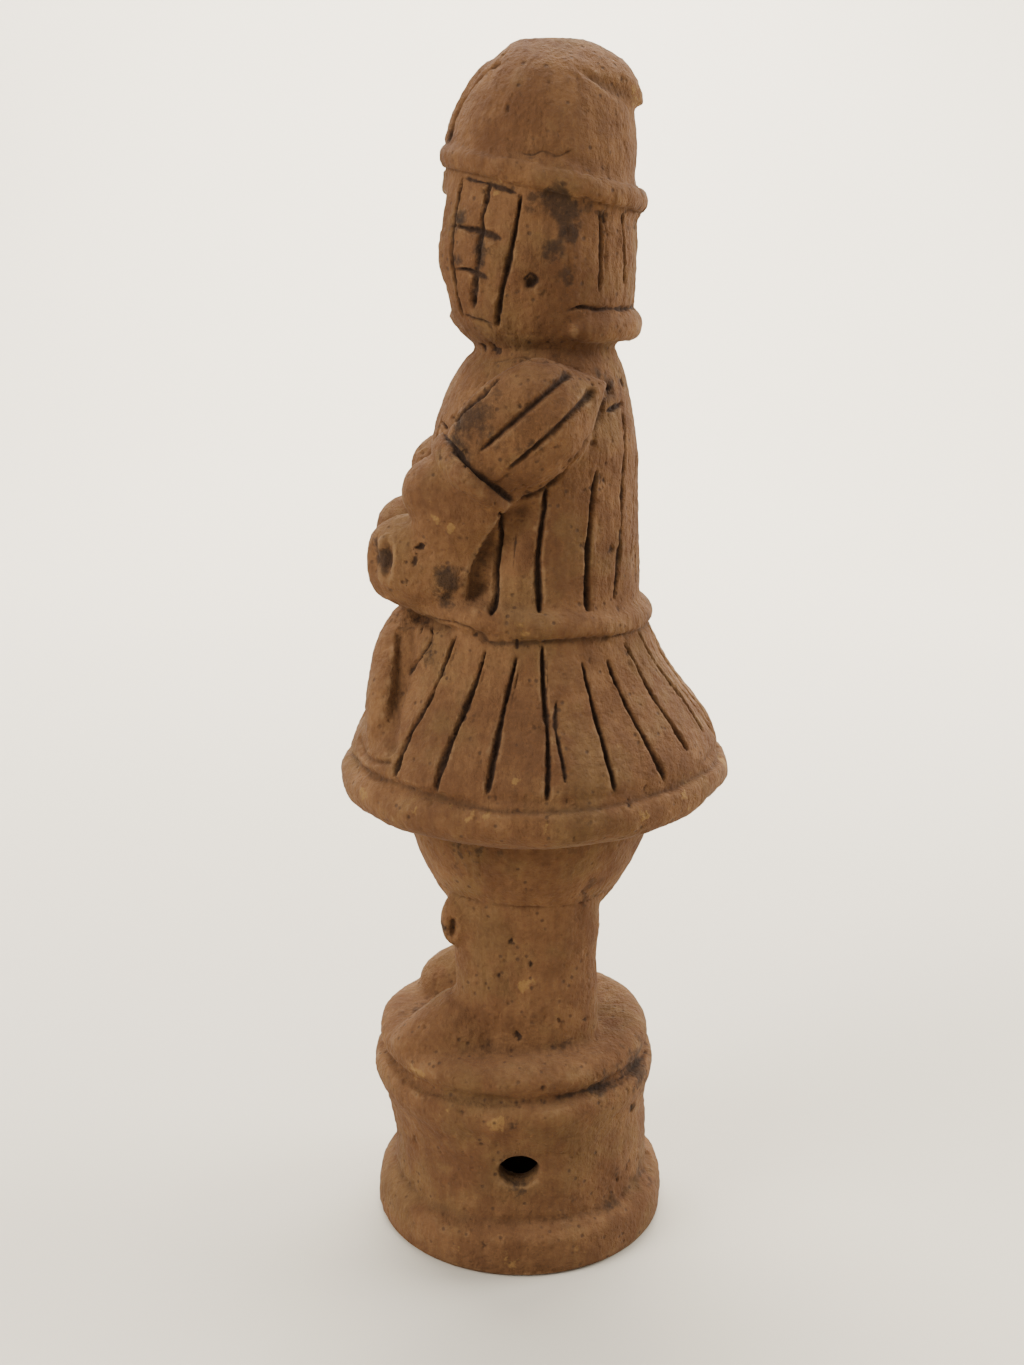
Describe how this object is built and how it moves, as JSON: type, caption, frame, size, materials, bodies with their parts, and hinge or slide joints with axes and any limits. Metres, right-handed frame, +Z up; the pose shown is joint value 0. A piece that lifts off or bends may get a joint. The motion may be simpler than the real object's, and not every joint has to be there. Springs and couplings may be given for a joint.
{
  "type": "haniwa warrior figurine",
  "caption": "Small terracotta souvenir haniwa, a helmeted warrior in pleated skirt armour on a hollow round drum base.",
  "frame": {"origin": "on the floor, under the middle of the skirt's rim, which is the middle of the figure's box", "axes": "+Z up, along the height; the warrior faces -Y and +X is the warrior's own left"},
  "size_m": [0.0752, 0.0752, 0.2299],
  "materials": {
    "terracotta": "matte fired clay with dark stains in the carved lines"
  },
  "bodies": {
    "root": {"warrior_figure": "terracotta"}
  },
  "joints": []
}
